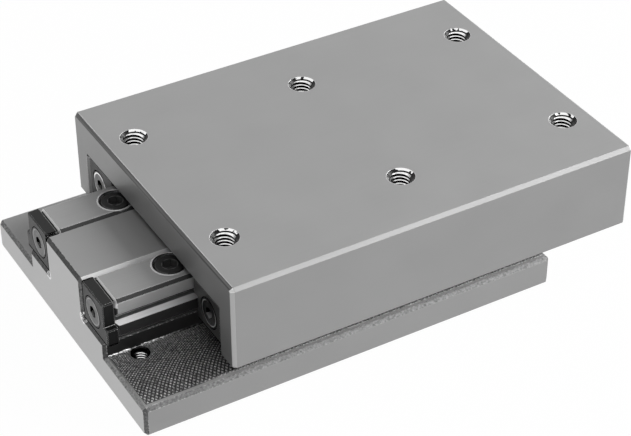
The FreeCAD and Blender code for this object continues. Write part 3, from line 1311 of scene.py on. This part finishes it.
@dataclass
class MilledFlange:
    """The base's right flange, face milled: its marks cross in a lattice that closes up towards the seat."""

    feed: float = 0.75
    grid_angle: float = 45.0
    cutter_radius: float = 26.0
    cutter_line: float = -41.0
    half_length: float = 39.1
    outer_edge: float = -28.8
    inner_edge: float = -15.4
    floor: float = 6.01
    crest: float = 0.06
    thickness: float = 0.03
    hole_radius: float = 1.75

    def chord(self, y: float) -> float:
        """Half chord of the cutter's circle at a place across the flange."""
        return math.sqrt(self.cutter_radius ** 2 - (y - self.cutter_line) ** 2)

    def build(self) -> BMesh:
        """Raise one small pyramid between each two pairs of crossing marks.

        Returns:
            The milled skin.
        """
        mesh = self.lattice()
        for vert in mesh.verts:
            vert.co.y = self.cutter_line + math.sqrt(self.cutter_radius ** 2 - vert.co.y ** 2)
        self.clear_holes(mesh)
        for vert in bmesh.ops.poke(mesh, faces=mesh.faces[:])["verts"]:
            vert.co.z = self.crest
        self.thicken(mesh)
        bmesh.ops.translate(mesh, verts=mesh.verts, vec=(0, 0, self.floor - self.thickness))
        return mesh

    def lattice(self) -> BMesh:
        """Cut a strip from a diagonal grid, in which Y is the half chord of the cutter's circle.

        Returns:
            The strip.
        """
        mesh = bmesh.new()
        near, far = self.chord(self.inner_edge), self.chord(self.outer_edge)
        cell = self.feed / math.sqrt(2)
        count = math.ceil(2 * (self.half_length + far) / cell)
        bmesh.ops.create_grid(mesh, x_segments=count, y_segments=count, size=count * cell / 2)
        about_z(mesh, self.grid_angle)
        for point, normal in (
            ((self.half_length, 0, 0), (1, 0, 0)),
            ((-self.half_length, 0, 0), (-1, 0, 0)),
            ((0, far, 0), (0, 1, 0)),
            ((0, near, 0), (0, -1, 0)),
        ):
            everything = [*mesh.verts, *mesh.edges, *mesh.faces]
            bmesh.ops.bisect_plane(mesh, geom=everything, plane_co=point, plane_no=normal, clear_outer=True)
        return mesh

    def clear_holes(self, mesh: BMesh) -> None:
        """Leave the skin out over the flange's holes.

        Args:
            mesh: The skin.
        """
        for end in End:
            centre = Vector((end.value * LAYOUT.hole_spacing, -LAYOUT.base_hole_y, 0))
            inside = [vert for vert in mesh.verts if (vert.co - centre).length < self.hole_radius]
            bmesh.ops.delete(mesh, geom=inside, context="VERTS")

    def thicken(self, mesh: BMesh) -> None:
        """Close the skin with a flat underside.

        Args:
            mesh: The skin.
        """
        bmesh.ops.recalc_face_normals(mesh, faces=mesh.faces)
        raised = set(verts_of(bmesh.ops.extrude_face_region(mesh, geom=mesh.faces[:])["geom"]))
        bmesh.ops.translate(mesh, verts=list(raised), vec=(0, 0, self.thickness))
        for vert in mesh.verts:
            if vert not in raised:
                vert.co.z = 0.0


@dataclass
class SeatFoot:
    """The rough fillet that the cutter leaves along the foot of the right rail seat."""

    half_length: float = 39.3
    reach: float = 0.28
    profile: tuple = ((0.0, 0.0), (1.0, 0.0), (0.62, 0.16), (0.28, 0.36), (0.0, 0.8))
    hole_gap: float = 1.05
    step: float = 0.16
    wave_rates: tuple = (0.9, 2.7)
    swell: float = 0.6
    least: float = 0.3

    def build(self) -> BMesh:
        """Draw the fillet's section out along the seat, up to the holes that cut it, and roughen it.

        Returns:
            The fillet.
        """
        mesh = bmesh.new()
        inner, outer = LAYOUT.hole_spacing - self.hole_gap, LAYOUT.hole_spacing + self.hole_gap
        for start, end in ((-self.half_length, -outer), (-inner, inner), (outer, self.half_length)):
            self.draw(mesh, start, end)
        for vert in mesh.verts:
            waves = sum(noise.noise(Vector((vert.co.x * rate, 0.0, 0.0))) for rate in self.wave_rates)
            swell = max(self.least, 1 + self.swell * waves)
            vert.co.y = -LAYOUT.seat_edge + (vert.co.y + LAYOUT.seat_edge) * swell
            vert.co.z = LAYOUT.flange_top + (vert.co.z - LAYOUT.flange_top) * swell
        return mesh

    def draw(self, mesh: BMesh, start: float, end: float) -> None:
        """Draw the section out over one stretch.

        Args:
            mesh: The fillet, to which the stretch is added.
            start: Where the stretch starts along X, in millimetres.
            end: Where it ends.
        """
        corners = (
            (start, -LAYOUT.seat_edge - out * self.reach, LAYOUT.flange_top + up * self.reach)
            for out, up in self.profile
        )
        section = mesh.faces.new([mesh.verts.new(corner) for corner in corners])
        far = set(verts_of(bmesh.ops.extrude_face_region(mesh, geom=[section])["geom"]))
        bmesh.ops.translate(mesh, verts=list(far), vec=(end - start, 0, 0))
        along = [edge for edge in mesh.edges if len(far.intersection(edge.verts)) == 1]
        bmesh.ops.subdivide_edges(mesh, edges=along, cuts=round((end - start) / self.step))


@dataclass
class Base:
    """The ribbed plate with raised seats, a milled right flange and threaded flange holes."""

    flange: MilledFlange = field(default_factory=MilledFlange)
    foot: SeatFoot = field(default_factory=SeatFoot)
    thread: ThreadCoil = field(
        default_factory=lambda: ThreadCoil(
            major_radius=1.5, minor_radius=1.22, pitch=0.5, start=1.05, depth=4.5, cone_depth=0.2
        )
    )

    def build(self, finishes: Finishes) -> None:
        """Dress the plate, lay the milled skin and thread the holes.

        Args:
            finishes: The slide's finishes.
        """
        dress("base", finishes.base)
        place("milled_flange_right", self.flange.build(), finishes.milled, "base")
        place("seat_foot_right", self.foot.build(), finishes.burr, "base")
        for end in End:
            for side in Side:
                x, y = end.value * LAYOUT.hole_spacing, side.value * LAYOUT.base_hole_y
                coil = self.thread.build(Vector((x, y, LAYOUT.flange_top)))
                name = f"flange_thread_{label(side)}_{label(end)}"
                place(name, coil, finishes.thread, "base")


@dataclass
class RailSets:
    """The four rails with their screws, end caps and end screws."""

    screw_rows: tuple = (-LAYOUT.rail_screw_spacing, 0.0, LAYOUT.rail_screw_spacing)
    lip_profile: tuple = ((3.0, -0.3), (3.0, 0.03), (3.06, 0.035), (3.26, -0.01), (3.26, -0.3))
    lip_steps: int = 48

    def build(self, finishes: Finishes) -> None:
        """Dress every rail and what is on it, and round the counterbores of the inner rails.

        Args:
            finishes: The slide's finishes.
        """
        for level in Level:
            for side in Side:
                dress(f"{label(level)}_rail_{label(side)}", finishes.rail[level])
                dress(f"{label(level)}_rail_screws_{label(side)}", finishes.screw)
                for end in End:
                    dress(f"{label(level)}_cap_{label(side)}_{label(end)}", finishes.cap)
            dress(f"{label(level)}_end_screws", finishes.end_screw)
        for side in Side:
            for row, x in enumerate(self.screw_rows):
                lip = self.lip(Vector((x, side.value * LAYOUT.rail_screw_y, LAYOUT.rail_top)))
                place(f"counterbore_lip_{label(side)}_{row + 1}", lip, finishes.lip, "base")

    def lip(self, centre: Vector) -> BMesh:
        """Spin the rounded lip of a counterbore.

        Args:
            centre: Centre of the counterbore's mouth, in millimetres.

        Returns:
            The lip.
        """
        mesh = bmesh.new()
        section = mesh.faces.new([mesh.verts.new((radius, 0.0, z)) for radius, z in self.lip_profile])
        bmesh.ops.spin(
            mesh, geom=[section, *section.edges, *section.verts], axis=(0, 0, 1), cent=(0, 0, 0),
            angle=2 * math.pi, steps=self.lip_steps, use_merge=True,
        )
        sections = [face for face in mesh.faces if len(face.verts) > 4]
        bmesh.ops.delete(mesh, geom=sections, context="FACES_ONLY")
        bmesh.ops.translate(mesh, verts=mesh.verts, vec=centre)
        return mesh


class Cages:
    """The two cages and their crossed rollers."""

    def build(self, finishes: Finishes) -> None:
        """Dress the strips and the rollers.

        Args:
            finishes: The slide's finishes.
        """
        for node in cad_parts:
            if node.startswith("cage_"):
                dress(node, finishes.cage)
            elif node.startswith("roller_"):
                dress(node, finishes.roller)


@dataclass(frozen=True)
class Lamp:
    """A square lamp that faces the slide, with its place and sides in metres and its power in watts."""

    name: str
    position: tuple
    size: float
    power: float

    def build(self) -> None:
        """Hang the lamp."""
        data = bpy.data.lights.new(self.name, "AREA")
        data.size = self.size
        data.energy = self.power
        lamp = bpy.data.objects.new(self.name, data)
        position = Vector(self.position)
        turn = position.normalized().to_track_quat("Z", "Y").to_matrix().to_4x4()
        lamp.matrix_world = Matrix.Translation(position) @ turn
        bpy.context.scene.collection.objects.link(lamp)


@dataclass
class Studio:
    """Pale floor, soft lamps and the camera. Lengths are in metres."""

    image_width: int = 631
    focal_pixels: float = 1941.83
    sensor: float = 36.0
    clip: tuple = (0.01, 20.0)
    eye: tuple = (-0.132961, -0.244475, 0.216125)
    forward: tuple = (0.404429, 0.694861, -0.594647)
    right: tuple = (0.863550, -0.504260, -0.001926)
    lamps: tuple = (
        Lamp("back_lamp", position=(2.7, 0.0, 1.74), size=1.92, power=112.0),
        Lamp("side_lamp", position=(1.04, -1.02, 0.42), size=1.0, power=15.0),
    )
    world_level: float = 0.12
    floor_half: float = 3.0
    floor_tone: tuple = (0.85, 0.85, 0.85, 1.0)
    floor_roughness: float = 0.9
    floor_glow: float = 0.985

    def build(self) -> None:
        """Set up everything that isn't part of the slide."""
        self.build_camera()
        self.build_world()
        self.build_floor()
        for lamp in self.lamps:
            lamp.build()
        bpy.context.scene.view_settings.view_transform = "Standard"

    def build_camera(self) -> None:
        """Place the camera where the picture was taken from."""
        data = bpy.data.cameras.new("camera")
        data.sensor_width = self.sensor
        data.lens = self.focal_pixels * self.sensor / self.image_width
        data.clip_start, data.clip_end = self.clip
        camera = bpy.data.objects.new("camera", data)
        back = -Vector(self.forward).normalized()
        right = Vector(self.right)
        right = (right - back * right.dot(back)).normalized()
        turn = Matrix((right, back.cross(right), back)).transposed()
        camera.matrix_world = Matrix.Translation(Vector(self.eye)) @ turn.to_4x4()
        bpy.context.scene.collection.objects.link(camera)
        bpy.context.scene.camera = camera

    def build_world(self) -> None:
        """Light everything evenly, before a white background."""
        world = bpy.data.worlds.new("studio")
        world.use_nodes = True
        tree = world.node_tree
        background = tree.nodes["Background"]
        background.inputs["Color"].default_value = (1.0, 1.0, 1.0, 1.0)
        strength = tree.nodes.new("ShaderNodeMapRange")
        strength.inputs["To Min"].default_value = self.world_level
        tree.links.new(self.seen_directly(tree), strength.inputs["Value"])
        tree.links.new(strength.outputs["Result"], background.inputs["Strength"])
        bpy.context.scene.world = world

    def seen_directly(self, tree: bpy.types.NodeTree) -> Socket:
        """1 for a ray from the camera, a reflection or glass, and 0 for a ray that only lights.

        Args:
            tree: The node tree to add to.

        Returns:
            The value.
        """
        path = tree.nodes.new("ShaderNodeLightPath")
        seen = path.outputs["Is Camera Ray"]
        for ray in ("Is Glossy Ray", "Is Transmission Ray"):
            either = tree.nodes.new("ShaderNodeMath")
            either.operation = "MAXIMUM"
            tree.links.new(seen, either.inputs[0])
            tree.links.new(path.outputs[ray], either.inputs[1])
            seen = either.outputs[0]
        return seen

    def build_floor(self) -> None:
        """Lay a white floor that keeps a faint shadow."""
        mesh = bmesh.new()
        bmesh.ops.create_grid(mesh, x_segments=1, y_segments=1, size=self.floor_half)
        data = bpy.data.meshes.new("studio_floor")
        mesh.to_mesh(data)
        mesh.free()
        data.materials.append(self.floor_material())
        floor = bpy.data.objects.new("studio_floor", data)
        bpy.context.scene.collection.objects.link(floor)

    def floor_material(self) -> Material:
        """A pale matt floor that looks white where it isn't shaded.

        Returns:
            The material.
        """
        material = bpy.data.materials.new("floor_white")
        material.use_nodes = True
        tree = material.node_tree
        shader = tree.nodes["Principled BSDF"]
        shader.inputs["Base Color"].default_value = self.floor_tone
        shader.inputs["Roughness"].default_value = self.floor_roughness
        shader.inputs["Specular IOR Level"].default_value = 0.0
        glow = tree.nodes.new("ShaderNodeEmission")
        mix = tree.nodes.new("ShaderNodeMixShader")
        share = tree.nodes.new("ShaderNodeMath")
        share.operation = "MULTIPLY"
        share.inputs[1].default_value = self.floor_glow
        tree.links.new(self.seen_directly(tree), share.inputs[0])
        tree.links.new(share.outputs[0], mix.inputs["Fac"])
        tree.links.new(shader.outputs["BSDF"], mix.inputs[1])
        tree.links.new(glow.outputs["Emission"], mix.inputs[2])
        tree.links.new(mix.outputs["Shader"], tree.nodes["Material Output"].inputs["Surface"])
        return material


def main() -> None:
    """Build and dress the slide, then light it."""
    logging.basicConfig(level=logging.INFO, format="%(name)s: %(message)s")
    finishes = Finishes()
    for assembly in (Carriage(), Base(), RailSets(), Cages()):
        assembly.build(finishes)
    Studio().build()


if __name__ == "__main__":
    main()
